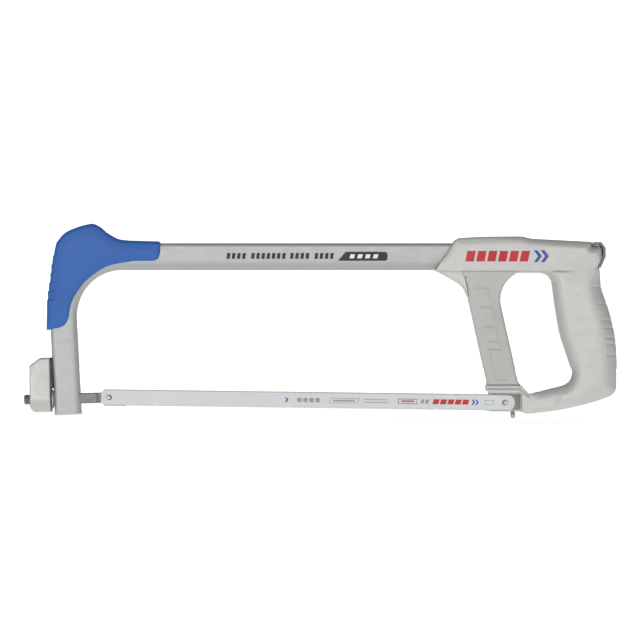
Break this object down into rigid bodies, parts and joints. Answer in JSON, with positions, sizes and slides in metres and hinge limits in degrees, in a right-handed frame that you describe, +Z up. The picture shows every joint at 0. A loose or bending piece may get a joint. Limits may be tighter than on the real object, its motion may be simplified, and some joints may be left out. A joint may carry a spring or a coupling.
{
  "type": "hacksaw",
  "caption": "Hacksaw with a bent tube frame, soft front grip, closed D handle, a lever knob that draws the blade tight, and a flap over the spare-blade tube.",
  "frame": {"origin": "centre of the rear blade pin, in the blade's mid-plane", "axes": "+X along the straight beam towards the handle, +Z up with the teeth facing down, +Y away from the side that the blade is hooked on from"},
  "size_m": [0.4495, 0.028, 0.1475],
  "materials": {
    "tube_paint": "satin grey paint",
    "grip_blue": "soft matte blue",
    "handle_paint": "satin warm grey paint on an aluminium casting",
    "sleeve_grey": "soft matte grey",
    "steel": "bright zinc-plated steel",
    "blade_paint": "thin white paint on steel",
    "knob_paint": "satin grey paint on a casting",
    "plug_plastic": "grey moulded plastic",
    "door_plastic": "dark moulded plastic"
  },
  "bodies": {
    "frame": {"beam_tube": "tube_paint", "front_grip": "grip_blue", "arm_guide_block": "steel", "arm_end_plug": "plug_plastic", "thrust_washer": "steel", "washer_seat": "steel", "handle_casting": "handle_paint", "post_sleeve": "sleeve_grey", "beam_set_screws": "steel", "rear_anchor_block": "steel", "anchor_screw": "steel", "rear_blade_pin": "steel", "rear_flush_pin": "steel", "door_hinge_pin": "steel"},
    "knob": {"tension_knob": "knob_paint", "knob_liner": "door_plastic", "knob_insert": "steel"},
    "tension_bolt": {"draw_bolt": "steel", "front_blade_pin": "steel"},
    "blade": {"saw_blade": "blade_paint"},
    "door": {"storage_door": "door_plastic"}
  },
  "joints": [
    {"name": "knob_turn", "type": "hinge", "parent": "frame", "child": "knob", "pos_m": [-0.30113, 0, 0.00394], "axis": [0.9997, 0, 0.0262], "range_deg": [-1710, 0]},
    {"name": "bolt_slide", "type": "slide", "parent": "frame", "child": "tension_bolt", "axis": [0.9997, 0, 0.0262], "range_m": [0, 0.00594]},
    {"name": "blade_release", "type": "slide", "parent": "frame", "child": "blade", "axis": [0, -1, 0], "range_m": [0, 0.01485]},
    {"name": "door_swing", "type": "hinge", "parent": "frame", "child": "door", "pos_m": [0.0673, 0, 0.1201], "axis": [0, -1, 0], "range_deg": [0, 95]}
  ],
  "couplings": [
    {"joint": "bolt_slide", "follows": "knob_turn", "m_per_rad": -0.00019894},
    {"joint": "blade_release", "follows": "knob_turn", "m_per_rad": -0.00049736}
  ]
}
